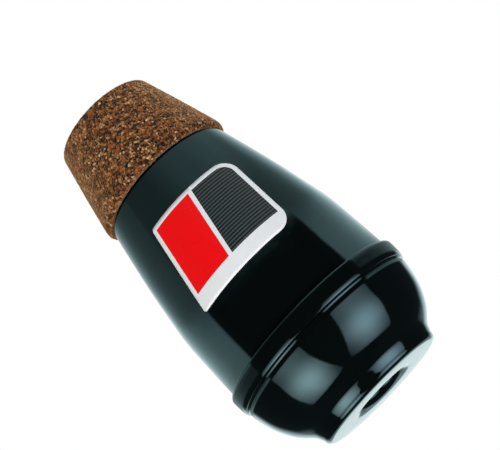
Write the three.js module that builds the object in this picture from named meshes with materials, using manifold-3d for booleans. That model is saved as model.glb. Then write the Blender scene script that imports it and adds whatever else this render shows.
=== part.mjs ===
// A practice mute for a trumpet: a spun metal shell in two parts, a cork collar that grips the
// bell, and a damped outlet tube inside. Lengths are millimetres. The mute stands on the flat end
// of its bowl, with its axis along +Z and the cork collar at the top.
import * as THREE from 'three';
import { mergeVertices } from 'three/addons/utils/BufferGeometryUtils.js';
import Module from 'manifold-3d';

const wasm = await Module();
wasm.setup();

// Sheet metal and fits
const SHEET = 0.9;
const FIT_GAP = 0.3;
const CUT_OVERRUN = 2;

// Bottom bowl
const BOWL_HEIGHT = 27.2;
const FOOT_RADIUS = 27.5;
const FOOT_BEND = 0.2;
const THROAT_BEND = 4;
const THROAT_LENGTH = 7;
const RIB_HEIGHT = 0.75;
const RIB_PROUD = 0.7;
const RIB_SLOPE = 0.3;
const RIB_GROOVE_HEIGHT = 0.85;
const RIB_GROOVE_DEPTH = 0.35;
const BOWL_STEP = 0.5;

// Body shell
const BODY_RADIUS = 39.6;
const BEAD_PROUD = 2;
const BEAD_HEIGHT = 7.35;
const SOCKET_STEP = 0.85;
const LIP_TURN = 0.5;
const CONE_LENGTH = 77.75;
const CONE_TOP_RADIUS = 29.25;
const JOGGLE_HEIGHT = 1;
const NECK_RECESS = 0.4;

// Cork collar
const CORK_LENGTH = 36.4;
const CORK_THICKNESS = 3.25;
const CORK_PROUD = 2.15;
const CORK_TAPER = 8.75;
const CORK_BELLY = 0.15;
const CORK_TOP_ROUND = 0.6;
const CORK_LOW_ROUND = 2;
const CORK_SEAM = 0.4;

// Outlet tube and what is on it
const TUBE_BORE_RADIUS = 7.5;
const TUBE_WALL = 1.5;
const TUBE_INSET = 0.8;
const TUBE_LENGTH = 106;
const PERFORATION_RADIUS = 1.25;
const PERFORATION_PITCH = 14;
const STOP_RING_HEIGHT = 3;
const STOP_RING_WIDTH = 3.2;
const WASHER_THICKNESS = 1;
const WASHER_OVERHANG = 0.4;
const SLEEVE_THICKNESS = 3.7;
const TUBE_FREE_LENGTH = 7;
const CAP_WALL = 1.2;
const CAP_SKIRT = 6;

// Damping ring in the bowl
const DAMPING_RING_HEIGHT = 3;

// Label on the body
const LABEL_THICKNESS = 0.3;
const LABEL_RISE = 23.75;
const LABEL_HEIGHT = 36.8;
const LABEL_RIGHT = 21.6;
const LABEL_LOW_WIDTH = 45.4;
const LABEL_TOP_WIDTH = 38.1;
const LABEL_CORNER = 9;
const LABEL_SHARP_CORNER = 1.5;

// Numbers of facets
const SHELL_STEPS = 48;
const TUBE_STEPS = 24;
const HOLE_STEPS = 10;
const BEND_STEPS = 4;
const ROLL_STEPS = 6;
const OUTER_SPAN_STEPS = 2;
const INNER_SPAN_STEPS = 1;

// Outlines as shares: each pair is the share of the way along, then the share of the change of radius
const CONE_SHARES = [[0, 0], [0.15, 0.024], [0.303, 0.068], [0.384, 0.116], [0.484, 0.232], [0.609, 0.392],
  [0.801, 0.678], [1, 1]];
const BOWL_SHARES = [[0, 0], [0.234, 0.099], [0.353, 0.174], [0.467, 0.277], [0.563, 0.387], [0.64, 0.494],
  [0.7, 0.593], [0.761, 0.708], [0.808, 0.806], [0.849, 0.874], [0.889, 0.924], [0.943, 0.972], [1, 1]];
const BEAD_SHARES = [[0, 0.36], [0.015, 0.6], [0.05, 0.74], [0.1, 0.83], [0.2, 0.905], [0.4, 0.955],
  [0.67, 0.985], [0.92, 1], [0.97, 0.95], [1, 0.85], [1, 0]];
const SOCKET_DEPTH_SHARE = 0.78;
const SOCKET_ROOF_SHARE = 0.93;

// Sizes that follow from the ones above
const socketRadius = BODY_RADIUS + SOCKET_STEP;
const lipRadius = socketRadius - LIP_TURN;
const grooveRadius = lipRadius - FIT_GAP;
const skirtRadius = socketRadius - FIT_GAP;
const ribRadius = grooveRadius + RIB_PROUD;
const bowlTopRadius = grooveRadius + BOWL_STEP;
const ribLow = BOWL_HEIGHT + RIB_GROOVE_HEIGHT;
const ribTop = ribLow + RIB_HEIGHT;
const lipLow = ribTop + FIT_GAP;
const lipTop = lipLow + SHEET;
const socketTop = lipLow + BEAD_HEIGHT * SOCKET_DEPTH_SHARE;
const coneLow = lipLow + BEAD_HEIGHT;
const coneTop = coneLow + CONE_LENGTH;
const corkLow = coneTop + JOGGLE_HEIGHT + FIT_GAP;
const corkTop = corkLow + CORK_LENGTH;
const corkLowRadius = CONE_TOP_RADIUS + CORK_PROUD;
const neckTop = corkTop - NECK_RECESS;
const tubeRadius = TUBE_BORE_RADIUS + TUBE_WALL;
const onTubeRadius = tubeRadius + FIT_GAP;
const throatRoll = THROAT_BEND + SHEET;
const footRound = FOOT_BEND + SHEET;
const throatTop = throatRoll + THROAT_LENGTH;
const tubeLow = throatRoll + TUBE_INSET;
const tubeTop = tubeLow + TUBE_LENGTH;
const stopRingLow = throatTop + FIT_GAP;
const lowerWasherLow = stopRingLow + STOP_RING_HEIGHT + FIT_GAP;
const sleeveLow = lowerWasherLow + WASHER_THICKNESS + FIT_GAP;
const capSkirtLow = tubeTop + FIT_GAP - CAP_SKIRT;
const upperWasherLow = capSkirtLow - TUBE_FREE_LENGTH - WASHER_THICKNESS;
const sleeveTop = upperWasherLow - FIT_GAP;
const sleeveRadius = onTubeRadius + SLEEVE_THICKNESS;

// Outlines: a point is a radius and a height
function point(radius, height) {
  return new THREE.Vector2(radius, height);
}

function arc(centreRadius, centreHeight, radius, fromDegrees, toDegrees, steps) {
  const points = [];
  for (let step = 0; step <= steps; step += 1) {
    const angle = THREE.MathUtils.degToRad(THREE.MathUtils.lerp(fromDegrees, toDegrees, step / steps));
    points.push(point(centreRadius + radius * Math.cos(angle), centreHeight + radius * Math.sin(angle)));
  }
  return points;
}

function sharedCurve(from, to, shares, stepsPerSpan) {
  const knots = shares.map(([along, across]) => point(
    THREE.MathUtils.lerp(from.x, to.x, across),
    THREE.MathUtils.lerp(from.y, to.y, along),
  ));
  return new THREE.SplineCurve(knots).getPoints((knots.length - 1) * stepsPerSpan);
}

// Moves an outline sideways, to the left of the way it runs, with mitred corners
function shifted(points, distance) {
  return points.map((here, index) => {
    const before = points[Math.max(index - 1, 0)];
    const after = points[Math.min(index + 1, points.length - 1)];
    const into = here.clone().sub(before).normalize();
    const out = after.clone().sub(here).normalize();
    const way = into.clone().add(out).normalize();
    const edge = index > 0 ? into : out;
    const reach = distance / way.dot(edge);
    return point(here.x - way.y * reach, here.y + way.x * reach);
  });
}

function raised(points, distance) {
  return points.map((here) => point(here.x + distance, here.y));
}

// Closed bodies
function welded(geometry) {
  geometry.deleteAttribute('normal');
  geometry.deleteAttribute('uv');
  const merged = mergeVertices(geometry);
  const kept = [];
  for (let corner = 0; corner < merged.index.count; corner += 3) {
    const triangle = [0, 1, 2].map((side) => merged.index.getX(corner + side));
    if (new Set(triangle).size === 3) {
      kept.push(...triangle);
    }
  }
  merged.setIndex(kept);
  merged.computeVertexNormals();
  return merged;
}

// Turns an outline round the Z axis; it closes on itself, or on the axis where both ends lie there
function turned(outline, steps) {
  const onAxis = outline[0].x === 0 && outline[outline.length - 1].x === 0;
  const loop = onAxis ? outline.slice() : outline.concat([outline[0]]);
  if (THREE.ShapeUtils.area(loop) < 0) {
    loop.reverse();
  }
  return welded(new THREE.LatheGeometry(loop, steps).rotateX(Math.PI / 2));
}

function toSolid(geometry) {
  return new wasm.Manifold(new wasm.Mesh({
    numProp: 3,
    vertProperties: geometry.attributes.position.array,
    triVerts: new Uint32Array(geometry.index.array),
  }));
}

function toGeometry(solid) {
  const mesh = solid.getMesh();
  const geometry = new THREE.BufferGeometry();
  geometry.setAttribute('position', new THREE.BufferAttribute(new Float32Array(mesh.vertProperties), 3));
  geometry.setIndex(Array.from(mesh.triVerts));
  geometry.computeVertexNormals();
  return geometry;
}

function ring(innerRadius, outerRadius, low, top, steps) {
  return turned([
    point(innerRadius, low),
    point(outerRadius, low),
    point(outerRadius, top),
    point(innerRadius, top),
  ], steps);
}

// The bowl: throat rolled in round the outlet, flat end, cove, bowl, a shallow groove, rib, crimping
// groove and skirt
function bowlFace(stepsPerSpan) {
  const throat = [point(onTubeRadius, throatTop)];
  const roll = arc(onTubeRadius + throatRoll, throatRoll, throatRoll, 180, 270, ROLL_STEPS);
  const foot = arc(FOOT_RADIUS - footRound, footRound, footRound, 270, 360, BEND_STEPS);
  const side = sharedCurve(
    point(bowlTopRadius, BOWL_HEIGHT),
    point(FOOT_RADIUS, footRound),
    BOWL_SHARES,
    stepsPerSpan,
  );
  return [...throat, ...roll, ...foot, ...side.reverse().slice(1)];
}

function bottomBowl() {
  const inside = shifted(bowlFace(INNER_SPAN_STEPS), SHEET).reverse();
  const rim = [
    point(bowlTopRadius - RIB_GROOVE_DEPTH, BOWL_HEIGHT + RIB_GROOVE_HEIGHT / 2),
    point(ribRadius - RIB_SLOPE, ribLow),
    point(ribRadius, ribTop),
    point(grooveRadius, ribTop),
    point(grooveRadius, lipTop + FIT_GAP),
    point(skirtRadius, lipTop + FIT_GAP),
    point(skirtRadius, socketTop - FIT_GAP),
    point(grooveRadius - SHEET, socketTop - FIT_GAP),
    point(grooveRadius - SHEET, ribTop),
  ];
  return turned([...bowlFace(OUTER_SPAN_STEPS), ...rim, ...inside], SHELL_STEPS);
}

// The body: its lip crimped into the bowl's groove, bead, long cone, joggle and neck
function bodyCone(stepsPerSpan) {
  const low = point(BODY_RADIUS, coneLow);
  return sharedCurve(low, point(CONE_TOP_RADIUS, coneTop), CONE_SHARES, stepsPerSpan);
}

function bodyShell() {
  const bead = BEAD_SHARES.map(([along, across]) => point(
    BODY_RADIUS + BEAD_PROUD * across,
    lipLow + BEAD_HEIGHT * along,
  ));
  const neck = [
    point(corkLowRadius - CORK_THICKNESS - FIT_GAP, corkLow - FIT_GAP),
    point(corkLowRadius - CORK_TAPER - CORK_THICKNESS - FIT_GAP, neckTop),
  ];
  const socket = [
    point(socketRadius, socketTop),
    point(socketRadius, lipTop),
    point(lipRadius, lipTop),
    point(lipRadius, lipLow),
  ];
  const outside = [...bead.slice(0, -1), ...bodyCone(OUTER_SPAN_STEPS), ...neck];
  const inside = shifted([...bodyCone(INNER_SPAN_STEPS), ...neck], SHEET).slice(1).reverse();
  const roof = [point(BODY_RADIUS - SHEET, lipLow + BEAD_HEIGHT * SOCKET_ROOF_SHARE)];
  return turned([...outside, ...inside, ...roof, ...socket], SHELL_STEPS);
}

// The cork: a tapered collar wrapped round the neck, its two ends meeting in a seam at the back
function corkCollar() {
  const topRadius = corkLowRadius - CORK_TAPER;
  const slope = CORK_TAPER / CORK_LENGTH;
  const lean = Math.atan(slope);
  const leanDegrees = THREE.MathUtils.radToDeg(lean);
  const lowCentre = corkLowRadius - slope * CORK_LOW_ROUND - CORK_LOW_ROUND / Math.cos(lean);
  const topCentre = topRadius + slope * CORK_TOP_ROUND - CORK_TOP_ROUND / Math.cos(lean);
  const lowRound = arc(lowCentre, corkLow + CORK_LOW_ROUND, CORK_LOW_ROUND, 270, 360 + leanDegrees, BEND_STEPS);
  const topRound = arc(topCentre, corkTop - CORK_TOP_ROUND, CORK_TOP_ROUND, leanDegrees, 90, BEND_STEPS);
  const belly = [1, 2, 3].map((quarter) => {
    const along = quarter / 4;
    const bulge = CORK_BELLY * 4 * along * (1 - along);
    return point(corkLowRadius - CORK_TAPER * along + bulge, corkLow + CORK_LENGTH * along);
  });
  const inside = [
    point(topRadius - CORK_THICKNESS, corkTop),
    point(corkLowRadius - CORK_THICKNESS, corkLow),
  ];
  const collar = toSolid(turned([...lowRound, ...belly, ...topRound, ...inside], SHELL_STEPS));
  const blade = new THREE.BoxGeometry(CORK_SEAM, corkLowRadius + CUT_OVERRUN, CORK_LENGTH + 2 * CUT_OVERRUN);
  blade.translate(0, (corkLowRadius + CUT_OVERRUN) / 2, corkLow + CORK_LENGTH / 2);
  return toGeometry(collar.subtract(toSolid(welded(blade))));
}

// The label: a thin curved plate that follows the cone, with a slanted left edge
function labelOutline() {
  const low = coneLow + LABEL_RISE;
  const top = low + LABEL_HEIGHT;
  const corners = [
    [LABEL_RIGHT - LABEL_LOW_WIDTH, low, LABEL_SHARP_CORNER],
    [LABEL_RIGHT, low, LABEL_CORNER],
    [LABEL_RIGHT, top, LABEL_CORNER],
    [LABEL_RIGHT - LABEL_TOP_WIDTH, top, LABEL_SHARP_CORNER],
  ].map(([across, height, round]) => ({ at: point(across, height), round }));
  const shape = new THREE.Shape();
  corners.forEach(({ at, round }, index) => {
    const before = corners[(index + corners.length - 1) % corners.length].at;
    const after = corners[(index + 1) % corners.length].at;
    const start = at.clone().add(before.clone().sub(at).setLength(round));
    const end = at.clone().add(after.clone().sub(at).setLength(round));
    if (index === 0) {
      shape.moveTo(start.x, start.y);
    } else {
      shape.lineTo(start.x, start.y);
    }
    shape.quadraticCurveTo(at.x, at.y, end.x, end.y);
  });
  shape.closePath();
  return shape;
}

function label() {
  const cone = bodyCone(OUTER_SPAN_STEPS);
  const skin = [...raised(cone, FIT_GAP + LABEL_THICKNESS), ...raised(cone, FIT_GAP).reverse()];
  const sleeve = toSolid(turned(skin, SHELL_STEPS));
  const cutter = new THREE.ExtrudeGeometry(labelOutline(), {
    depth: BODY_RADIUS + CUT_OVERRUN,
    bevelEnabled: false,
    curveSegments: BEND_STEPS,
  }).rotateX(Math.PI / 2);
  return toGeometry(sleeve.intersect(toSolid(welded(cutter))));
}

// The outlet tube, drilled through in crossed pairs where the felt sleeve covers it
function outletTube() {
  let tube = toSolid(ring(TUBE_BORE_RADIUS, tubeRadius, tubeLow, tubeTop, TUBE_STEPS));
  const rows = Math.floor((sleeveTop - sleeveLow) / PERFORATION_PITCH);
  for (let row = 0; row < rows; row += 1) {
    const height = sleeveLow + PERFORATION_PITCH * (row + 1 / 2);
    for (const turn of [0, 1]) {
      const length = 2 * (tubeRadius + CUT_OVERRUN);
      const drill = new THREE.CylinderGeometry(PERFORATION_RADIUS, PERFORATION_RADIUS, length, HOLE_STEPS);
      drill.rotateZ(Math.PI / 2).rotateZ(Math.PI / 2 * turn + Math.PI / 4 * (row % 2));
      drill.translate(0, 0, height);
      tube = tube.subtract(toSolid(welded(drill)));
    }
  }
  return toGeometry(tube);
}

// The cap: a shallow cup pushed over the tube's inner end
function tubeCap() {
  const skirtOuter = onTubeRadius + CAP_WALL;
  return turned([
    point(0, tubeTop + FIT_GAP),
    point(onTubeRadius, tubeTop + FIT_GAP),
    point(onTubeRadius, capSkirtLow),
    point(skirtOuter, capSkirtLow),
    point(skirtOuter, tubeTop + FIT_GAP),
    point(onTubeRadius, tubeTop + FIT_GAP + CAP_WALL),
    point(0, tubeTop + FIT_GAP + CAP_WALL),
  ], TUBE_STEPS);
}

function washer(low) {
  return ring(onTubeRadius, sleeveRadius + WASHER_OVERHANG, low, low + WASHER_THICKNESS, TUBE_STEPS);
}

function dampingRing() {
  const low = SHEET + FIT_GAP;
  const inner = onTubeRadius + throatRoll + FIT_GAP;
  const outer = FOOT_RADIUS - footRound - FIT_GAP;
  return ring(inner, outer, low, low + DAMPING_RING_HEIGHT, TUBE_STEPS);
}

// Finishes
function finish(colour, roughness, metalness) {
  return () => new THREE.MeshStandardMaterial({ color: colour, roughness, metalness });
}

const blackLacquer = finish(0x0b1414, 0.12, 0.1);
const cork = finish(0x8f5f3f, 0.9, 0);
const printedLabel = finish(0xe9edec, 0.35, 0);
const aluminium = finish(0xb9bcbe, 0.35, 0.9);
const felt = finish(0x4b4d50, 0.95, 0);

const mute = new THREE.Group();

function addPiece(name, geometry, makeMaterial) {
  const piece = new THREE.Mesh(geometry, makeMaterial());
  piece.name = name;
  mute.add(piece);
}

addPiece('bottom_bowl', bottomBowl(), blackLacquer);
addPiece('body_shell', bodyShell(), blackLacquer);
addPiece('cork_collar', corkCollar(), cork);
addPiece('label', label(), printedLabel);
addPiece('outlet_tube', outletTube(), aluminium);
addPiece('tube_stop_ring', ring(
  onTubeRadius,
  onTubeRadius + STOP_RING_WIDTH,
  stopRingLow,
  stopRingLow + STOP_RING_HEIGHT,
  TUBE_STEPS,
), aluminium);
addPiece('lower_felt_washer', washer(lowerWasherLow), aluminium);
addPiece('felt_sleeve', ring(onTubeRadius, sleeveRadius, sleeveLow, sleeveTop, TUBE_STEPS), felt);
addPiece('upper_felt_washer', washer(upperWasherLow), aluminium);
addPiece('tube_cap', tubeCap(), aluminium);
addPiece('damping_ring', dampingRing(), felt);

export default mute;
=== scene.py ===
import math

import bmesh
import bpy
import numpy as np
from mathutils import Matrix, Vector, noise


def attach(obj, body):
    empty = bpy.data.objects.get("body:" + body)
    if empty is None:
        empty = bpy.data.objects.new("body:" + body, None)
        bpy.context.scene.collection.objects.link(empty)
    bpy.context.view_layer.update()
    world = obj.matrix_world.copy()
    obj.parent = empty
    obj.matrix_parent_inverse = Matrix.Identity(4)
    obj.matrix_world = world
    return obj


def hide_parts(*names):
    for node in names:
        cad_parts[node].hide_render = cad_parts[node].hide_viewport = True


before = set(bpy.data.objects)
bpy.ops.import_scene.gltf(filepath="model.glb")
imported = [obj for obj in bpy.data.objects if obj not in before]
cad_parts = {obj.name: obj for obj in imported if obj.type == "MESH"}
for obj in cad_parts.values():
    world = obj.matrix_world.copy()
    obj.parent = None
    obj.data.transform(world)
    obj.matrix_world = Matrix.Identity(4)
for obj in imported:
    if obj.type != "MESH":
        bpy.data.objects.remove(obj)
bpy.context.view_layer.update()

# Bottom bowl
# Spun from thin sheet metal: a rolled-in outlet, a flat end, a cove, the bowl and a thin rib. Its skirt
# goes up inside the body's bead, where the body's lip is crimped into the groove above the rib.
# Sizes are in millimetres, and MM turns them into the metres of the scene.
MM = 0.001
MERGE = 0.0001
SLIVER = 0.00001
SHEET = 0.9
BOWL_ROWS = 0.45
STRIP_ROWS = 0.09
SHELL_STEPS = 256
SHARP_ANGLE = math.radians(32)
THROAT = {"radius": 9.3, "roll": 4.9, "top": 11.9, "steps": 24}
FOOT = {"radius": 27.85, "round": 2.05, "last_degrees": 352, "steps": 16}
BOWL_KNOTS = [
    (27.83, 1.765), (27.89, 2.15), (27.97, 2.5), (28.11, 2.88), (28.33, 3.4), (28.7, 4.3),
    (29.1, 5.1), (29.85, 6.1), (31.07, 7.35), (32.62, 8.95), (33.92, 10.5), (35.25, 12.5), (36.65, 15.0),
    (37.95, 18.0), (38.9, 21.1), (39.55, 24.1), (40.06, 26.75),
]
STRIP_KNOTS = [(40.06, 26.75), (40.062, 27.0), (40.054, 27.4), (40.05, 27.8), (40.05, 28.2)]
RIB = {"low": 28.25, "low_radius": 40.05, "radius": 40.35, "top": 28.85, "root": 39.65,
       "corner": 0.08, "first_degrees": -20, "steps": 4}
SKIRT = {"radius": 40.15, "low": 30.3, "top": 34.53}


def arc(centre_radius, centre_height, radius, from_degrees, to_degrees, steps):
    angles = np.radians(np.linspace(from_degrees, to_degrees, steps + 1))
    return [(centre_radius + radius * math.cos(a), centre_height + radius * math.sin(a)) for a in angles]


def smooth_run(knots, spacing):
    """Points on a cubic spline through the knots, about spacing apart."""
    knots = np.array(knots, float)
    gaps = np.linalg.norm(np.diff(knots, axis=0), axis=1)
    along = np.concatenate([[0], np.cumsum(gaps)])
    count = len(knots)
    matrix, right = np.eye(count), np.zeros((count, 2))
    for i in range(1, count - 1):
        matrix[i, i - 1:i + 2] = gaps[i - 1], 2 * (gaps[i - 1] + gaps[i]), gaps[i]
        right[i] = 6 * ((knots[i + 1] - knots[i]) / gaps[i] - (knots[i] - knots[i - 1]) / gaps[i - 1])
    bend = np.linalg.solve(matrix, right)
    run = []
    for i in range(count - 1):
        steps = max(1, round(gaps[i] / spacing))
        for t in np.arange(steps) / steps:
            rest = 1 - t
            lift = (rest ** 3 - rest) * bend[i] + (t ** 3 - t) * bend[i + 1]
            run.append(tuple(rest * knots[i] + t * knots[i + 1] + gaps[i] ** 2 / 6 * lift))
    return run + [tuple(knots[-1])]


def inner_wall(run, thickness):
    """The same run moved inwards by the sheet's thickness, backwards, with fewer points."""
    points = np.array(run[:-1:2] + [run[-1]])
    way = np.gradient(points, axis=0)
    way /= np.linalg.norm(way, axis=1)[:, None]
    return [tuple(p) for p in (points + thickness * np.stack([-way[:, 1], way[:, 0]], 1))[::-1]]


def spun(name, outline, steps):
    """A closed outline of radius and height in millimetres, spun round the mute's axis."""
    mesh = bmesh.new()
    corners = [mesh.verts.new((radius * MM, 0, height * MM)) for radius, height in outline]
    edges = [mesh.edges.new(pair) for pair in zip(corners, corners[1:] + corners[:1])]
    bmesh.ops.spin(mesh, geom=corners + edges, cent=(0, 0, 0), axis=(0, 0, 1), angle=math.tau,
                   steps=steps, use_merge=True)
    return piece(name, mesh)


def piece(name, mesh, sharp=SHARP_ANGLE):
    """Closes seams and poles, points the faces outwards and makes the object."""
    bmesh.ops.remove_doubles(mesh, verts=mesh.verts, dist=MERGE * MM)
    bmesh.ops.dissolve_degenerate(mesh, edges=mesh.edges, dist=SLIVER * MM)
    bmesh.ops.recalc_face_normals(mesh, faces=mesh.faces)
    for face in mesh.faces:
        face.smooth = True
    data = bpy.data.meshes.new(name)
    mesh.to_mesh(data)
    mesh.free()
    data.set_sharp_from_angle(angle=sharp)
    made = bpy.data.objects.new(name, data)
    bpy.context.scene.collection.objects.link(made)
    return made


class Value:
    """A shader socket that can be used in a Python expression."""

    def __init__(self, finish, socket):
        self.finish, self.socket = finish, socket

    def maths(self, operation, *values):
        return self.finish.add("ShaderNodeMath", {"operation": operation}, dict(enumerate(values)))

    def __add__(self, other):
        return self.maths("ADD", self, other)

    def __sub__(self, other):
        return self.maths("SUBTRACT", self, other)

    def __rsub__(self, other):
        return self.maths("SUBTRACT", other, self)

    def __mul__(self, other):
        return self.maths("MULTIPLY", self, other)

    def __truediv__(self, other):
        return self.maths("DIVIDE", self, other)

    def exponent(self):
        return self.maths("EXPONENT", self)

    __radd__ = __add__
    __rmul__ = __mul__


class Finish:
    """A node tree under construction: a material's, or the world's."""

    def __init__(self, owner):
        owner.use_nodes = True
        self.owner, self.tree = owner, owner.node_tree
        self.tree.nodes.clear()

    def add(self, kind, settings=None, inputs=None, out=0):
        node = self.tree.nodes.new(kind)
        for name, value in (settings or {}).items():
            if name == "stops":
                ramp = node.color_ramp.elements
                while len(ramp) < len(value):
                    ramp.new(1)
                for element, (position, tone) in zip(ramp, value):
                    element.position, element.color = position, (*tone, 1)
            else:
                setattr(node, name, value)
        for name, value in (inputs or {}).items():
            if isinstance(value, Value):
                self.tree.links.new(value.socket, node.inputs[name])
            else:
                node.inputs[name].default_value = value
        return Value(self, node.outputs[out]) if len(node.outputs) else None

    def mix(self, factor, first, second):
        return self.add("ShaderNodeMix", {"data_type": "RGBA"}, {0: factor, 6: first, 7: second}, out=2)

    def step(self, value, low, high):
        """Runs smoothly from 0 at low to 1 at high."""
        return self.add("ShaderNodeMapRange", {"interpolation_type": "SMOOTHSTEP"},
                        {"Value": value, "From Min": low, "From Max": high})

    def graph(self, value, points):
        """Straight lines through the points of a graph, level beyond its ends."""
        (start, low), *rest = points
        result = low
        for end, high in rest:
            result = result + (high - low) * self.add("ShaderNodeMapRange", {}, {
                "Value": value, "From Min": start, "From Max": end})
            start, low = end, high
        return result

    def noise(self, vector, size, detail=2.0, roughness=0.5, distortion=0.0):
        """Noise with lumps of about that size in millimetres, from 0 to 1."""
        return self.add("ShaderNodeTexNoise", {}, {
            "Vector": vector, "Scale": 1 / (size * MM), "Detail": detail,
            "Roughness": roughness, "Distortion": distortion})

    def relief(self, height):
        """A height in millimetres as a normal."""
        return self.add("ShaderNodeBump", {}, {"Height": height, "Distance": MM})

    def surface(self, inputs):
        shader = self.add("ShaderNodeBsdfPrincipled", {}, inputs)
        self.add("ShaderNodeOutputMaterial", {}, {"Surface": shader})
        return self.owner


def srgb(red, green, blue):
    """A colour as it is seen on a screen, from 0 to 255, in the renderer's light values."""
    return tuple(((c / 255 + 0.055) / 1.055) ** 2.4 if c > 10 else c / 255 / 12.92
                 for c in (red, green, blue))


def colour(red, green, blue):
    return (*srgb(red, green, blue), 1)


LACQUER = {"deep": (40, 58, 60), "worn": (43, 61, 63), "metal": 0.93, "edge_tint": (0.8, 0.98, 1.0, 1),
           "gloss": 0.045, "smear": 0.05, "smear_edge": (0.45, 0.75)}
SPINNING_LINES = {"per_metre": 900.0, "height": 0.0015}
DENTS = {"size": 7, "height": 0.05}
PEEL = {"size": 1.3, "height": 0.004}
HANDLING_SIZE = 14


def lacquer_finish():
    """Black gloss lacquer over the metal, slightly teal, with the spinning's faint lines and dents."""
    paint = Finish(bpy.data.materials.new("black_lacquer"))
    place = paint.add("ShaderNodeTexCoord", {}, {}, out="Object")
    height = paint.add("ShaderNodeSeparateXYZ", {}, {"Vector": place}, out="Z")
    lines = paint.add("ShaderNodeTexNoise", {"noise_dimensions": "1D"}, {
        "W": height, "Scale": SPINNING_LINES["per_metre"], "Detail": 2.0})
    dents = paint.noise(place, DENTS["size"], detail=1.0)
    peel = paint.noise(place, PEEL["size"], detail=1.0)
    handling = paint.noise(place, HANDLING_SIZE, detail=4.0, roughness=0.6)
    smears = paint.step(handling, *LACQUER["smear_edge"])
    return paint.surface({
        "Base Color": paint.mix(handling, colour(*LACQUER["deep"]), colour(*LACQUER["worn"])),
        "Metallic": LACQUER["metal"],
        "Roughness": smears * LACQUER["smear"] + LACQUER["gloss"],
        "Specular Tint": LACQUER["edge_tint"],
        "Normal": paint.relief(dents * DENTS["height"] + peel * PEEL["height"]
                               + lines * SPINNING_LINES["height"]),
    })


black_lacquer = lacquer_finish()

throat = [(THROAT["radius"], THROAT["top"])] + arc(
    THROAT["radius"] + THROAT["roll"], THROAT["roll"], THROAT["roll"], 180, 270, THROAT["steps"])
foot = arc(FOOT["radius"] - FOOT["round"], FOOT["round"], FOOT["round"], 270, FOOT["last_degrees"],
           FOOT["steps"])
bowl_face = throat + foot + smooth_run(BOWL_KNOTS, BOWL_ROWS)[1:]
strip = smooth_run(STRIP_KNOTS, STRIP_ROWS)[1:]
rib_corner = arc(RIB["radius"] - RIB["corner"], RIB["top"] - RIB["corner"], RIB["corner"],
                 RIB["first_degrees"], 90, RIB["steps"])
rim = [
    *strip, (RIB["low_radius"], RIB["low"]), *rib_corner, (RIB["root"], RIB["top"]),
    (RIB["root"], SKIRT["low"]), (SKIRT["radius"], SKIRT["low"]), (SKIRT["radius"], SKIRT["top"]),
    (RIB["root"] - SHEET, SKIRT["top"]), (RIB["root"] - SHEET, RIB["top"]),
]
bowl = spun("bowl_spun", bowl_face + rim + inner_wall(bowl_face, SHEET), SHELL_STEPS)
bowl.data.materials.append(black_lacquer)
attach(bowl, "root")
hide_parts("bottom_bowl")

# Body shell
# Spun from the same sheet: the lip that holds the bowl, the bead, the long cone and the stepped-in neck
# under the cork. Lacquered black together with the bowl.
BODY_ROWS = 0.6
BEAD_ROWS = 0.2
LIP = {"radius": 39.95, "low": 29.05, "top": 30.0}
SOCKET = {"radius": 40.45, "top": 34.83, "roof": 35.94}
BEAD_KNOTS = [
    (40.8, 29.15), (41.08, 29.42), (41.24, 29.8), (41.38, 30.5), (41.47, 31.8),
    (41.55, 33.7), (41.6, 35.6), (41.58, 36.0), (41.5, 36.27), (41.3, 36.45),
]
BEAD_EDGE = (40.32, 29.05)
CONE_KNOTS = [
    (39.6, 36.45), (39.35, 48.1), (38.9, 60.0), (38.4, 66.3), (37.2, 74.1),
    (35.55, 83.8), (32.6, 98.7), (29.25, 114.2),
]
CONE_FILLET = 0.3
FILLET_STEPS = 6
NECK = {"low": (27.85, 115.2), "top": (19.1, 151.5)}

cone_run = smooth_run(CONE_KNOTS, BODY_ROWS)
cone_low_radius, cone_low = CONE_KNOTS[0]
fillet = arc(cone_low_radius + CONE_FILLET, cone_low + CONE_FILLET, CONE_FILLET, 270, 180, FILLET_STEPS)
bead_run = [BEAD_EDGE, *smooth_run(BEAD_KNOTS, BEAD_ROWS), *fillet]
neck_run = [NECK["low"], NECK["top"]]
inside = [
    *inner_wall([*cone_run, *neck_run], SHEET)[:-1],
    (cone_low_radius - SHEET, SOCKET["roof"]),
    (SOCKET["radius"], SOCKET["top"]), (SOCKET["radius"], LIP["top"]),
    (LIP["radius"], LIP["top"]), (LIP["radius"], LIP["low"]),
]
body = spun("body_spun", [*bead_run, *cone_run[1:], *neck_run, *inside], SHELL_STEPS)
body.data.materials.append(black_lacquer)
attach(body, "root")
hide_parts("body_shell")

# Cork collar
# Ground cork pressed with binder into a sheet, then cut, wrapped round the neck and glued, so that its two
# ends meet in a seam at the back. Its corners are sanded round.
CORK = {"low": 115.5, "top": 151.9, "low_radius": 31.4, "top_radius": 22.65, "thickness": 3.25,
        "belly": 0.15, "top_round": 0.6, "low_round": 2.0, "top_steps": 6, "low_steps": 8, "seam": 0.4}
CORK_STEPS = 360
CORK_ROW_SHARES = np.linspace(0.08, 0.97, 74)
CORK_SHARP_ANGLE = math.radians(50)
GRAIN = 1.0
GRAIN_RELIEF = 0.12
GRAIN_EDGE = 2.5
INWARD_FACING = -0.2


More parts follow.
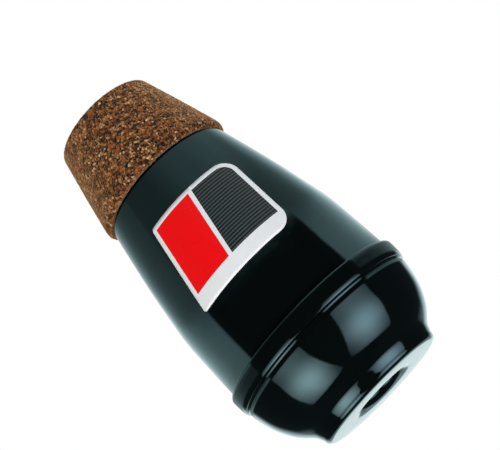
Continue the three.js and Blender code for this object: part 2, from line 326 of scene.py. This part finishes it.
def cork_outline():
    """The collar's section, from its lower outer corner round to the bore."""
    slope = (CORK["low_radius"] - CORK["top_radius"]) / (CORK["top"] - CORK["low"])
    lean = math.atan(slope)
    low_bend, top_bend = CORK["low_round"], CORK["top_round"]
    low_centre = CORK["low_radius"] - slope * low_bend - low_bend / math.cos(lean)
    low_round = arc(low_centre, CORK["low"] + low_bend, low_bend, 270, 360 + math.degrees(lean),
                    CORK["low_steps"])
    top_centre = CORK["top_radius"] + slope * top_bend - top_bend / math.cos(lean)
    top_round = arc(top_centre, CORK["top"] - top_bend, top_bend, math.degrees(lean), 90,
                    CORK["top_steps"])
    side = []
    for along in CORK_ROW_SHARES:
        bulge = CORK["belly"] * 4 * along * (1 - along)
        height = CORK["low"] + (CORK["top"] - CORK["low"]) * along
        side.append((CORK["low_radius"] - slope * (height - CORK["low"]) + bulge, height))
    edge = [(CORK["top_radius"] - CORK["thickness"], CORK["top"]),
            (CORK["low_radius"] - CORK["thickness"], CORK["low"])]
    return [*low_round, *side, *top_round, *edge]


def cork_mesh():
    """The section spun round but for the seam, and its outer faces pressed in between the grains."""
    mesh = bmesh.new()
    gap = CORK["seam"] / CORK["low_radius"]
    corners = [mesh.verts.new((radius * MM, 0, height * MM)) for radius, height in cork_outline()]
    section = mesh.faces.new(corners)
    bmesh.ops.rotate(mesh, verts=corners, cent=(0, 0, 0),
                     matrix=Matrix.Rotation(math.pi / 2 + gap / 2, 3, "Z"))
    bmesh.ops.spin(mesh, geom=[*section.verts, *section.edges, section], cent=(0, 0, 0),
                   axis=(0, 0, 1), angle=math.tau - gap, steps=CORK_STEPS, use_merge=False)
    bmesh.ops.remove_doubles(mesh, verts=mesh.verts, dist=MERGE * MM)
    bmesh.ops.recalc_face_normals(mesh, faces=mesh.faces)
    for vert in mesh.verts:
        distances, _ = noise.voronoi(vert.co / (GRAIN * MM))
        edge = min((distances[1] - distances[0]) * GRAIN_EDGE, 1)
        outward = vert.normal.dot(Vector((*vert.co.xy, 0)).normalized())
        if outward > INWARD_FACING:
            vert.co += vert.normal * (GRAIN_RELIEF * MM * (edge - 1))
    return mesh


CLUSTER = 5.0
TONE_SHARES = {"grain": 0.95, "second": 0.1, "fine": 0.4, "cluster": 0.35, "offset": 0.42}
BARK = {"size": 1.9, "share": 0.1, "share_edge": 0.02, "edge": (0.05, 0.14), "tone": (20, 27, 26)}
WANDER = {"per_metre": 1300.0, "reach": 0.7}
FINE_SIZE = 0.35
BINDER_WIDTH = 0.12
# Painted shade: below this band, the cork's underside where it meets the cone is coloured dark.
UNDERSIDE_SHADE_EDGE = (-0.1, 0.3)
CORK_ROUGHNESS = {"binder": 0.95, "grain_drop": 0.15}
CORK_HEIGHTS = {"grain": 0.18, "grain_round": 0.25, "fine": 0.2}
CORK_TONES = (
    (0.0, (13, 20, 22)), (0.14, (30, 31, 27)), (0.25, (75, 48, 24)), (0.42, (120, 75, 34)),
    (0.58, (170, 95, 44)), (0.72, (144, 108, 64)), (0.86, (190, 146, 96)), (1.0, (228, 200, 148)),
)
BINDER_TONE = (54, 34, 18)
# The colour of the painted shade on the cork's underside.
UNDERSIDE_SHADE_TONE = (18, 15, 13)
DUST_TONE = (240, 194, 134)


def cork_finish():
    """Grains of mixed tones in clusters, dark binder between them, some larger bits of bark, dust, and
    painted shade underneath.
    """
    grain = Finish(bpy.data.materials.new("pressed_cork"))
    place = grain.add("ShaderNodeTexCoord", {}, {}, out="Object")
    drift = grain.add("ShaderNodeTexNoise", {}, {
        "Vector": place, "Scale": WANDER["per_metre"], "Detail": 2.0}, out="Color")
    bent = grain.add("ShaderNodeVectorMath", {"operation": "MULTIPLY_ADD"},
                     {0: drift, 1: (WANDER["reach"] * MM,) * 3, 2: place})

    def cells(size, **extra):
        return grain.add("ShaderNodeTexVoronoi", extra, {"Vector": bent, "Scale": 1 / (size * MM)},
                         out="Distance" if extra else "Color")

    def channel(value, name):
        return grain.add("ShaderNodeSeparateColor", {}, {"Color": value}, out=name)

    cell = cells(GRAIN)
    edge = cells(GRAIN, feature="DISTANCE_TO_EDGE")
    fine = grain.noise(place, FINE_SIZE, detail=3.0, roughness=0.6)
    cluster = grain.noise(place, CLUSTER, detail=2.0)
    kinds = grain.add("ShaderNodeValToRGB", {"stops": [(at, srgb(*tone)) for at, tone in CORK_TONES]}, {
        "Fac": channel(cell, "Red") * TONE_SHARES["grain"] + channel(cell, "Green") * TONE_SHARES["second"]
        + fine * TONE_SHARES["fine"] + cluster * TONE_SHARES["cluster"] - TONE_SHARES["offset"]})
    bark_edge = cells(BARK["size"], feature="DISTANCE_TO_EDGE")
    bark_pick = channel(cells(BARK["size"]), "Red")
    plain = grain.step(bark_pick, BARK["share"], BARK["share"] + BARK["share_edge"])
    bark = (1 - plain) * grain.step(bark_edge, *BARK["edge"])
    in_grain = grain.step(edge, 0.0, BINDER_WIDTH)
    tone = grain.mix(bark, grain.mix(in_grain, colour(*BINDER_TONE), kinds), colour(*BARK["tone"]))
    height = grain.add("ShaderNodeSeparateXYZ", {}, {"Vector": place}, out="Z")
    # Painted shade: the cork is coloured dark below this step, on its underside against the cone.
    above_underside_shade = grain.step(height / MM, *(CORK["low"] + reach for reach in UNDERSIDE_SHADE_EDGE))
    rounded = grain.step(edge, 0.0, CORK_HEIGHTS["grain_round"])
    return grain.surface({
        # Painted shade: the base colour turns dark on the cork's underside.
        "Base Color": grain.mix(above_underside_shade, colour(*UNDERSIDE_SHADE_TONE), tone),
        "Roughness": CORK_ROUGHNESS["binder"] - in_grain * CORK_ROUGHNESS["grain_drop"],
        "Specular IOR Level": 0.12,
        "Sheen Weight": 1.0,
        "Sheen Roughness": 0.3,
        "Sheen Tint": colour(*DUST_TONE),
        "Normal": grain.relief(rounded * CORK_HEIGHTS["grain"] + fine * CORK_HEIGHTS["fine"]),
    })


cork = piece("cork_collar_wrapped", cork_mesh(), sharp=CORK_SHARP_ANGLE)
cork.data.materials.append(cork_finish())
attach(cork, "root")
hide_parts("cork_collar")

# Label
# A printed and varnished paper label, cut out and stuck on the cone: a white border, a red field and a
# charcoal field with fine lines, and a blank white band below them. It carries no words.
LABEL = {"low": 60.2, "top": 97.0, "right": 21.6, "low_left": -23.8, "top_left": -16.5,
         "round": 6.2, "corner": 1.2, "lift": 0.32, "thickness": 0.26}
BORDER = 1.7
BAND = 6.4
SLANT = (LABEL["top_left"] - LABEL["low_left"]) / (LABEL["top"] - LABEL["low"])
RED_SHARE = 0.42
LABEL_COLUMNS = 48
LABEL_ROWS = 32
CORNER_STEPS = 10
ON_PLANE = 0.000001


def cone_radius(height):
    run = np.array(cone_run)
    return float(np.interp(height, run[:, 1], run[:, 0]))


def rounded_plate(corners, rounds):
    """A flat face of straight sides in the XZ plane, its corners rounded."""
    mesh = bmesh.new()
    verts = [mesh.verts.new((across, 0, height)) for across, height in corners]
    mesh.faces.new(verts)
    for vert, size in zip(verts, rounds):
        bmesh.ops.bevel(mesh, geom=[vert], offset=size, offset_type="OFFSET", affect="VERTICES",
                        segments=CORNER_STEPS, profile=0.5, material=-1)
    return mesh


def label_mesh():
    """The plate cut into its printed fields, then divided and bent onto the cone."""
    low, top = LABEL["low"], LABEL["top"]
    mesh = rounded_plate([(LABEL["low_left"], low), (LABEL["right"], low), (LABEL["right"], top),
                          (LABEL["top_left"], top)],
                         [LABEL["corner"], LABEL["round"], LABEL["round"], LABEL["corner"]])
    bmesh.ops.inset_region(mesh, faces=mesh.faces, thickness=BORDER, use_boundary=True,
                           use_even_offset=True)
    panel = max(mesh.faces, key=lambda face: face.calc_area())
    bmesh.ops.remove_doubles(mesh, verts=panel.verts, dist=BORDER / 4)
    panel = max(mesh.faces, key=lambda face: face.calc_area())
    panel.material_index = 1

    def cut(point, normal):
        bmesh.ops.bisect_plane(mesh, geom=[*mesh.verts, *mesh.edges, *mesh.faces],
                               plane_co=point, plane_no=normal, dist=ON_PLANE)

    lean = Vector((1, 0, -SLANT)).normalized()
    split = LABEL["low_left"] + RED_SHARE * (LABEL["right"] - LABEL["low_left"])
    cut((0, 0, low + BAND), (0, 0, 1))
    for shift in (0, BORDER):
        cut((split + shift, 0, low), lean)
    for face in mesh.faces:
        if face.material_index == 1:
            middle = face.calc_center_median()
            along = (middle - Vector((split, 0, low))).dot(lean)
            if middle.z < low + BAND or 0 < along < BORDER * lean.x:
                face.material_index = 0
            elif along > 0:
                face.material_index = 2
    for across in np.linspace(LABEL["low_left"], LABEL["right"], LABEL_COLUMNS)[1:-1]:
        cut((across, 0, 0), (1, 0, 0))
    for height in np.linspace(low, top, LABEL_ROWS)[1:-1]:
        cut((0, 0, height), (0, 0, 1))
    bmesh.ops.triangulate(mesh, faces=[face for face in mesh.faces if len(face.verts) > 4])
    for vert in mesh.verts:
        radius = cone_radius(vert.co.z) + LABEL["lift"] + LABEL["thickness"]
        vert.co = Vector((vert.co.x, -math.sqrt(radius ** 2 - vert.co.x ** 2), vert.co.z)) * MM
    bmesh.ops.recalc_face_normals(mesh, faces=mesh.faces)
    front = next(iter(mesh.faces))
    if front.normal.y > 0:
        bmesh.ops.reverse_faces(mesh, faces=mesh.faces)
    return mesh


INKS = {"white": (240, 255, 253), "red": (255, 0, 6), "charcoal": (14, 24, 25)}
LINES = {"charcoal": (66, 82, 82)}
LINE_PITCH = 1.25
LINE_SHARES = {"start": (0.5, 0.62), "end": (0.88, 1.0)}
WORN_INK = 0.94
PAPER = {"fibre": 0.5, "fibre_height": 0.006, "wear": 6, "wear_height": 0.02}
VARNISH = {"gloss": 0.22, "wear": 0.12, "specular": 0.25}


def printed_finish(name, ink, lines):
    """Ink on paper under clear varnish, with the faint texture of the paper."""
    sheet = Finish(bpy.data.materials.new(name))
    place = sheet.add("ShaderNodeTexCoord", {}, {}, out="Object")
    fibres = sheet.noise(place, PAPER["fibre"], detail=3.0)
    wear = sheet.noise(place, PAPER["wear"], detail=3.0)
    tone = sheet.mix(fibres * 0.5 + wear * 0.5, colour(*[WORN_INK * c for c in ink]), colour(*ink))
    if lines:
        height = sheet.add("ShaderNodeSeparateXYZ", {}, {"Vector": place}, out="Z")
        rows = height / (LINE_PITCH * MM)
        wave = rows.maths("FRACT", rows)
        stripe = sheet.step(wave, *LINE_SHARES["start"]) * (1 - sheet.step(wave, *LINE_SHARES["end"]))
        tone = sheet.mix(stripe, tone, colour(*lines))
    return sheet.surface({
        "Base Color": tone,
        "Roughness": wear * VARNISH["wear"] + VARNISH["gloss"],
        "Specular IOR Level": VARNISH["specular"],
        "Normal": sheet.relief(fibres * PAPER["fibre_height"] + wear * PAPER["wear_height"]),
    })


label = piece("label_printed", label_mesh())
for name, ink in INKS.items():
    label.data.materials.append(printed_finish("label_" + name, ink, LINES.get(name)))
paper = label.modifiers.new("paper", "SOLIDIFY")
paper.thickness, paper.offset = LABEL["thickness"] * MM, -1
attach(label, "root")
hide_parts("label")

# Outlet tube
# A length of drawn aluminium tube that carries the air from inside to the outlet. It is drilled through in
# crossed pairs where the felt covers it.
TUBE_STEPS = 96
TUBE = {"bore": 7.5, "radius": 9.0, "low": 5.7, "top": 111.7, "chamfer": 0.25}
HOLES = {"radius": 1.25, "pitch": 14, "low": 16.8, "top": 97.7, "overrun": 2, "turn": 45, "steps": 24}
RING_EDGE_STEPS = 3


def turned_ring(name, inner, outer, low, top, edge, steps=TUBE_STEPS):
    """A ring of rectangular section with broken edges, spun from its four corners."""
    mesh = bmesh.new()
    corners = [mesh.verts.new((radius * MM, 0, height * MM))
               for radius, height in ((inner, low), (outer, low), (outer, top), (inner, top))]
    mesh.faces.new(corners)
    bmesh.ops.bevel(mesh, geom=corners, offset=edge * MM, offset_type="OFFSET", affect="VERTICES",
                    segments=RING_EDGE_STEPS, profile=0.5, material=-1)
    bmesh.ops.delete(mesh, geom=mesh.faces[:], context="FACES_ONLY")
    bmesh.ops.spin(mesh, geom=[*mesh.verts, *mesh.edges], cent=(0, 0, 0), axis=(0, 0, 1),
                   angle=math.tau, steps=steps, use_merge=True)
    return piece(name, mesh)


def drilled(made):
    """The tube with a crossed pair of holes at each pitch, every other pair turned."""
    mesh = bmesh.new()
    rows = int((HOLES["top"] - HOLES["low"]) / HOLES["pitch"])
    radius, length = HOLES["radius"] * MM, 2 * (TUBE["radius"] + HOLES["overrun"]) * MM
    for row in range(rows):
        height = (HOLES["low"] + HOLES["pitch"] * (row + 0.5)) * MM
        for turn in (0, 90):
            across = Matrix.Rotation(math.radians(turn + HOLES["turn"] * (row % 2)), 4, "Z")
            place = Matrix.Translation((0, 0, height)) @ across @ Matrix.Rotation(math.pi / 2, 4, "X")
            bmesh.ops.create_cone(mesh, cap_ends=True, segments=HOLES["steps"], radius1=radius,
                                  radius2=radius, depth=length, matrix=place)
    drill = piece("drill", mesh)
    cut = made.modifiers.new("holes", "BOOLEAN")
    cut.object, cut.operation, cut.solver, cut.use_self = drill, "DIFFERENCE", "EXACT", True
    result = bpy.data.meshes.new_from_object(made.evaluated_get(bpy.context.evaluated_depsgraph_get()))
    made.modifiers.clear()
    made.data = result
    bpy.data.objects.remove(drill)
    return made


ALUMINIUM_TONES = ((178, 180, 182), (205, 206, 207))
DRAWN_LINES = {"size": 0.3, "stretch": 0.06, "roughness": 0.15, "height": 0.006}
STAIN = {"size": 5, "roughness": 0.1}
METAL_GLOSS = 0.22


def aluminium_finish():
    """Drawn along its length, so its fine lines run that way, and a little stained."""
    metal = Finish(bpy.data.materials.new("drawn_aluminium"))
    place = metal.add("ShaderNodeTexCoord", {}, {}, out="Object")
    stretched = metal.add("ShaderNodeMapping", {}, {
        "Vector": place, "Scale": (1.0, 1.0, DRAWN_LINES["stretch"])})
    lines = metal.noise(stretched, DRAWN_LINES["size"], detail=3.0)
    stain = metal.noise(place, STAIN["size"], detail=3.0)
    return metal.surface({
        "Base Color": metal.mix(stain, *(colour(*tone) for tone in ALUMINIUM_TONES)),
        "Metallic": 1.0,
        "Roughness": lines * DRAWN_LINES["roughness"] + stain * STAIN["roughness"] + METAL_GLOSS,
        "Normal": metal.relief(lines * DRAWN_LINES["height"]),
    })


aluminium = aluminium_finish()
tube = drilled(turned_ring("outlet_tube_drilled", TUBE["bore"], TUBE["radius"], TUBE["low"], TUBE["top"],
                           TUBE["chamfer"]))
tube.data.materials.clear()
tube.data.materials.append(aluminium)
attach(tube, "root")
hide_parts("outlet_tube")

# Stop ring and felt washers
# Turned aluminium rings pressed on the tube: the stop ring seats on the bowl's throat, and the two washers
# hold the felt between them. Each has its inner and outer radius and its lower and upper face.
RINGS = (
    ("stop_ring", "tube_stop_ring", 9.3, 12.5, 12.2, 15.2),
    ("lower_washer", "lower_felt_washer", 9.3, 13.4, 15.5, 16.5),
    ("upper_washer", "upper_felt_washer", 9.3, 13.4, 98.0, 99.0),
)
RING_EDGE = 0.2

for name, node, inner, outer, low, top in RINGS:
    ring = turned_ring(name, inner, outer, low, top, RING_EDGE)
    ring.data.materials.append(aluminium)
    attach(ring, "root")
    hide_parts(node)

# Tube cap
# A shallow drawn cup pushed over the tube's inner end, so that the air goes through the felt and the holes.
CAP = {"inner": 9.3, "outer": 10.5, "low": 106.0, "face": 112.0, "top": 113.2, "round": 1.0, "steps": 8}
cap_outline = [
    (0, CAP["face"]), (CAP["inner"], CAP["face"]), (CAP["inner"], CAP["low"]), (CAP["outer"], CAP["low"]),
    *arc(CAP["outer"] - CAP["round"], CAP["top"] - CAP["round"], CAP["round"], 0, 90, CAP["steps"]),
    (0, CAP["top"]),
]
cap = spun("tube_cap_drawn", cap_outline, TUBE_STEPS)
cap.data.materials.append(aluminium)
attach(cap, "root")
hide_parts("tube_cap")

# Felt sleeve and damping ring
# Pressed wool felt, cut from sheet: the sleeve is wrapped round the drilled tube, and the ring lies in the
# bowl. Their faces are slightly uneven and their edges soft.
FELT_PIECES = (
    ("felt_sleeve_wrapped", "felt_sleeve", 9.3, 13.0, 16.8, 97.7),
    ("damping_ring_cut", "damping_ring", 14.5, 25.8, 1.2, 4.2),
)
FELT_EDGE = 0.6
FELT_UNEVEN = 0.12
FELT_LUMP = 2.2
LONG_EDGE = 3
LONG_EDGE_CUTS = 24
FELT_TONES = ((48, 50, 53), (98, 100, 103))
FIBRES = {"size": 0.25, "share": 0.6, "height": 0.12}
CLOUD = {"size": 3, "share": 0.4, "height": 0.15}


def felt_finish():
    """Matted grey wool, cloudy in tone, with a soft sheen."""
    wool = Finish(bpy.data.materials.new("pressed_felt"))
    place = wool.add("ShaderNodeTexCoord", {}, {}, out="Object")
    fibres = wool.noise(place, FIBRES["size"], detail=4.0, roughness=0.7, distortion=1.5)
    cloud = wool.noise(place, CLOUD["size"], detail=3.0)
    shade = fibres * FIBRES["share"] + cloud * CLOUD["share"]
    return wool.surface({
        "Base Color": wool.mix(shade, *(colour(*tone) for tone in FELT_TONES)),
        "Roughness": 0.95,
        "Sheen Weight": 0.3,
        "Sheen Roughness": 0.5,
        "Normal": wool.relief(fibres * FIBRES["height"] + cloud * CLOUD["height"]),
    })


felt = felt_finish()
for name, node, inner, outer, low, top in FELT_PIECES:
    wool = turned_ring(name, inner, outer, low, top, FELT_EDGE)
    mesh = bmesh.new()
    mesh.from_mesh(wool.data)
    long_edges = [edge for edge in mesh.edges if edge.calc_length() > LONG_EDGE * MM]
    bmesh.ops.subdivide_edges(mesh, edges=long_edges, cuts=LONG_EDGE_CUTS, use_grid_fill=True)
    mesh.normal_update()
    for vert in mesh.verts:
        lump = noise.noise(vert.co / (FELT_LUMP * MM))
        vert.co -= vert.normal * (FELT_UNEVEN * MM * 0.5 * (1 + lump))
    mesh.to_mesh(wool.data)
    mesh.free()
    wool.data.materials.append(felt)
    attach(wool, "root")
    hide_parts(node)

# Floor
# The photograph is taken from below the mute's flat end, so this pale floor shows only its upper side and
# only to the camera. It keeps the mute's shadow.
WHITE = (1, 1, 1, 1)
FLOOR_HALF = 1.5
FLOOR_DROP = 0.05
FLOOR_TONES = ((244, 244, 244), (250, 250, 250))
FLOOR_GLOW = 0.45
FLOOR_CLOUD = 40


def floor_finish():
    ground = Finish(bpy.data.materials.new("pale_floor"))
    place = ground.add("ShaderNodeTexCoord", {}, {}, out="Object")
    cloud = ground.noise(place, FLOOR_CLOUD, detail=2.0)
    lit = ground.add("ShaderNodeBsdfDiffuse", {}, {
        "Color": ground.mix(cloud, *(colour(*tone) for tone in FLOOR_TONES))})
    glow = ground.add("ShaderNodeEmission", {}, {"Color": WHITE, "Strength": FLOOR_GLOW})
    shown = ground.add("ShaderNodeAddShader", {}, {0: lit, 1: glow})
    under = ground.add("ShaderNodeNewGeometry", {}, {}, out="Backfacing")
    clear = ground.add("ShaderNodeBsdfTransparent")
    ground.add("ShaderNodeOutputMaterial", {}, {
        "Surface": ground.add("ShaderNodeMixShader", {}, {0: under, 1: shown, 2: clear})})
    return ground.owner


mesh = bmesh.new()
bmesh.ops.create_grid(mesh, x_segments=1, y_segments=1, size=FLOOR_HALF,
                      matrix=Matrix.Translation((0, 0, -FLOOR_DROP * MM)))
floor = piece("floor", mesh)
floor.data.materials.append(floor_finish())
floor.visible_diffuse = floor.visible_glossy = floor.visible_transmission = floor.visible_shadow = False

# Studio
# A dark room with two large soft lights low on the camera's left and right, pale side walls, a dim ceiling
# and a light low at the back. The gloss shows them, while the camera itself sees only white. Azimuths are
# degrees from the camera's side, elevations degrees from level, and a graph gives brightness by elevation.
SOFT_LIGHTS = (
    {"corners": ((-74.5, -1), (-28.5, -1), (-17, -58.5), (-92.5, -43.5)),
     "hot": (-54, -32.5), "spread": (19.5, 15.5), "glow": 6.75, "tint": (1.0, 0.88, 0.89, 1)},
    {"corners": ((21, -1), (68, -1), (88, -46.5), (4, -56)),
     "hot": (46, -32.5), "spread": (21, 16), "glow": 5.75, "tint": (1.0, 0.88, 0.96, 1)},
)
LIGHT_SOFTNESS = 0.022
DARK = 0.01
SIDE_DARK = 0.03
WALL = ((6, 0.0), (8.5, 0.25), (9.5, 0.38), (11, 0.45), (12.8, 1.15), (14, 1.3), (16, 1.19), (18.5, 0.94),
        (20.5, 0.69), (23, 0.56), (26, 0.5), (30, 0.48), (45, 0.38))
WALL_FADE = 0.25
WALL_HIGH = 0.25
WALL_TOP = 0.45
BACK = ((-56, 0.0), (-50, 1.8), (-38, 1.8), (-30, 0.8), (-15, 0.6), (-9, 1.3), (6, 1.3), (10, 0.0))
# The ceiling's brightness at the left, and what is added to the right of it and at the far right.
CEILING = {"left": 0.28, "right": 0.42, "far_right": 0.2}
# Where each part of the room begins and where it is full: turned from the camera's side, and up from level.
TURNS = {"side": (75.0, 80.0), "side_glow": (60.0, 90.0), "far": (115.0, 150.0), "back": (140.0, 158.0),
         "behind": (155.0, 176.0), "right": (-30.0, 40.0), "far_right": (45.0, 75.0)}
RISES = {"wall_high": (14.0, 19.0), "ceiling": (19.0, 25.0), "wall_top": (30.0, 37.0)}


def direction(azimuth, elevation):
    turn, rise = math.radians(azimuth), math.radians(elevation)
    return Vector((math.cos(rise) * math.sin(turn), -math.cos(rise) * math.cos(turn), math.sin(rise)))


def degrees(value):
    return value * (180 / math.pi)


def studio_world():
    """A soft light is a patch with straight edges: the directions inside four planes through its corners."""
    studio = Finish(bpy.data.worlds.new("studio"))
    way = studio.add("ShaderNodeTexCoord", {}, {}, out="Generated")
    across, depth, height = (studio.add("ShaderNodeSeparateXYZ", {}, {"Vector": way}, out=axis)
                             for axis in "XYZ")
    azimuth = degrees(across.maths("ARCTAN2", across, depth * -1.0))
    elevation = degrees(height.maths("ARCSINE", height))
    turn = azimuth.maths("ABSOLUTE", azimuth)
    side = studio.step(turn, *TURNS["side"])
    far = studio.step(turn, *TURNS["far"])
    right = studio.step(azimuth, *TURNS["right"])
    far_right = studio.step(azimuth, *TURNS["far_right"])
    ceiling = CEILING["left"] + right * CEILING["right"] + far_right * CEILING["far_right"]
    wall = (studio.graph(elevation, WALL) * (1 - studio.step(turn, *TURNS["behind"]) * WALL_FADE)
            + far * studio.step(elevation, *RISES["wall_high"]) * (WALL_HIGH + right * WALL_HIGH)
            + right * studio.step(elevation, *RISES["wall_top"]) * WALL_TOP)
    back = studio.step(turn, *TURNS["back"]) * studio.graph(elevation, BACK)
    light = (studio.step(elevation, *RISES["ceiling"]) * ceiling * (1 - side) + side * wall + back
             + DARK + studio.step(turn, *TURNS["side_glow"]) * SIDE_DARK)
    tone = WHITE
    for lamp in SOFT_LIGHTS:
        corners = [direction(*corner) for corner in lamp["corners"]]
        beside, above = ((value - centre) / spread for value, centre, spread
                         in zip((azimuth, elevation), lamp["hot"], lamp["spread"]))
        glow = ((above * above + beside * beside) * -0.5).exponent() * lamp["glow"]
        inside = 1.0
        for first, second in zip(corners, corners[1:] + corners[:1]):
            edge = first.cross(second).normalized()
            if edge.dot(direction(*lamp["hot"])) < 0:
                edge.negate()
            depth_in = studio.add("ShaderNodeVectorMath", {"operation": "DOT_PRODUCT"},
                                  {0: way, 1: edge}, out="Value")
            inside = inside * studio.step(depth_in, -LIGHT_SOFTNESS, LIGHT_SOFTNESS)
        light = light + glow * inside
        tone = studio.mix(inside, tone, lamp["tint"])
    camera_ray = studio.add("ShaderNodeLightPath", {}, {}, out="Is Camera Ray")
    background = studio.add("ShaderNodeBackground", {}, {
        "Color": studio.mix(camera_ray, tone, WHITE), "Strength": camera_ray + (1 - camera_ray) * light})
    studio.add("ShaderNodeOutputWorld", {}, {"Surface": background})
    return studio.owner


bpy.context.scene.world = studio_world()
bpy.context.scene.view_settings.view_transform = "Standard"

# Camera
# Placed by the fit to the photograph: a little below the flat end, and rolled, so that the mute's axis
# runs from the upper left to the lower right of the picture.
FOCAL_PIXELS = 1247.6
PICTURE_WIDTH = 500
SENSOR = 36.0
CAMERA_PLACE = Vector((0, -0.4581, -0.0531))
CAMERA_AIM = Vector((0.010267, 0, 0.080215))
CAMERA_ROLL = math.radians(-46.257)

forward = (CAMERA_AIM - CAMERA_PLACE).normalized()
level = forward.cross(Vector((0, 0, 1))).normalized()
upright = level.cross(forward)
right = level * math.cos(CAMERA_ROLL) + upright * math.sin(CAMERA_ROLL)
up = upright * math.cos(CAMERA_ROLL) - level * math.sin(CAMERA_ROLL)
lens = bpy.data.cameras.new("camera")
lens.sensor_width = SENSOR
lens.lens = FOCAL_PIXELS * SENSOR / PICTURE_WIDTH
lens.clip_start = 0.01
camera = bpy.data.objects.new("camera", lens)
camera.matrix_world = Matrix.Translation(CAMERA_PLACE) @ Matrix((right, up, -forward)).transposed().to_4x4()
bpy.context.scene.collection.objects.link(camera)
bpy.context.scene.camera = camera
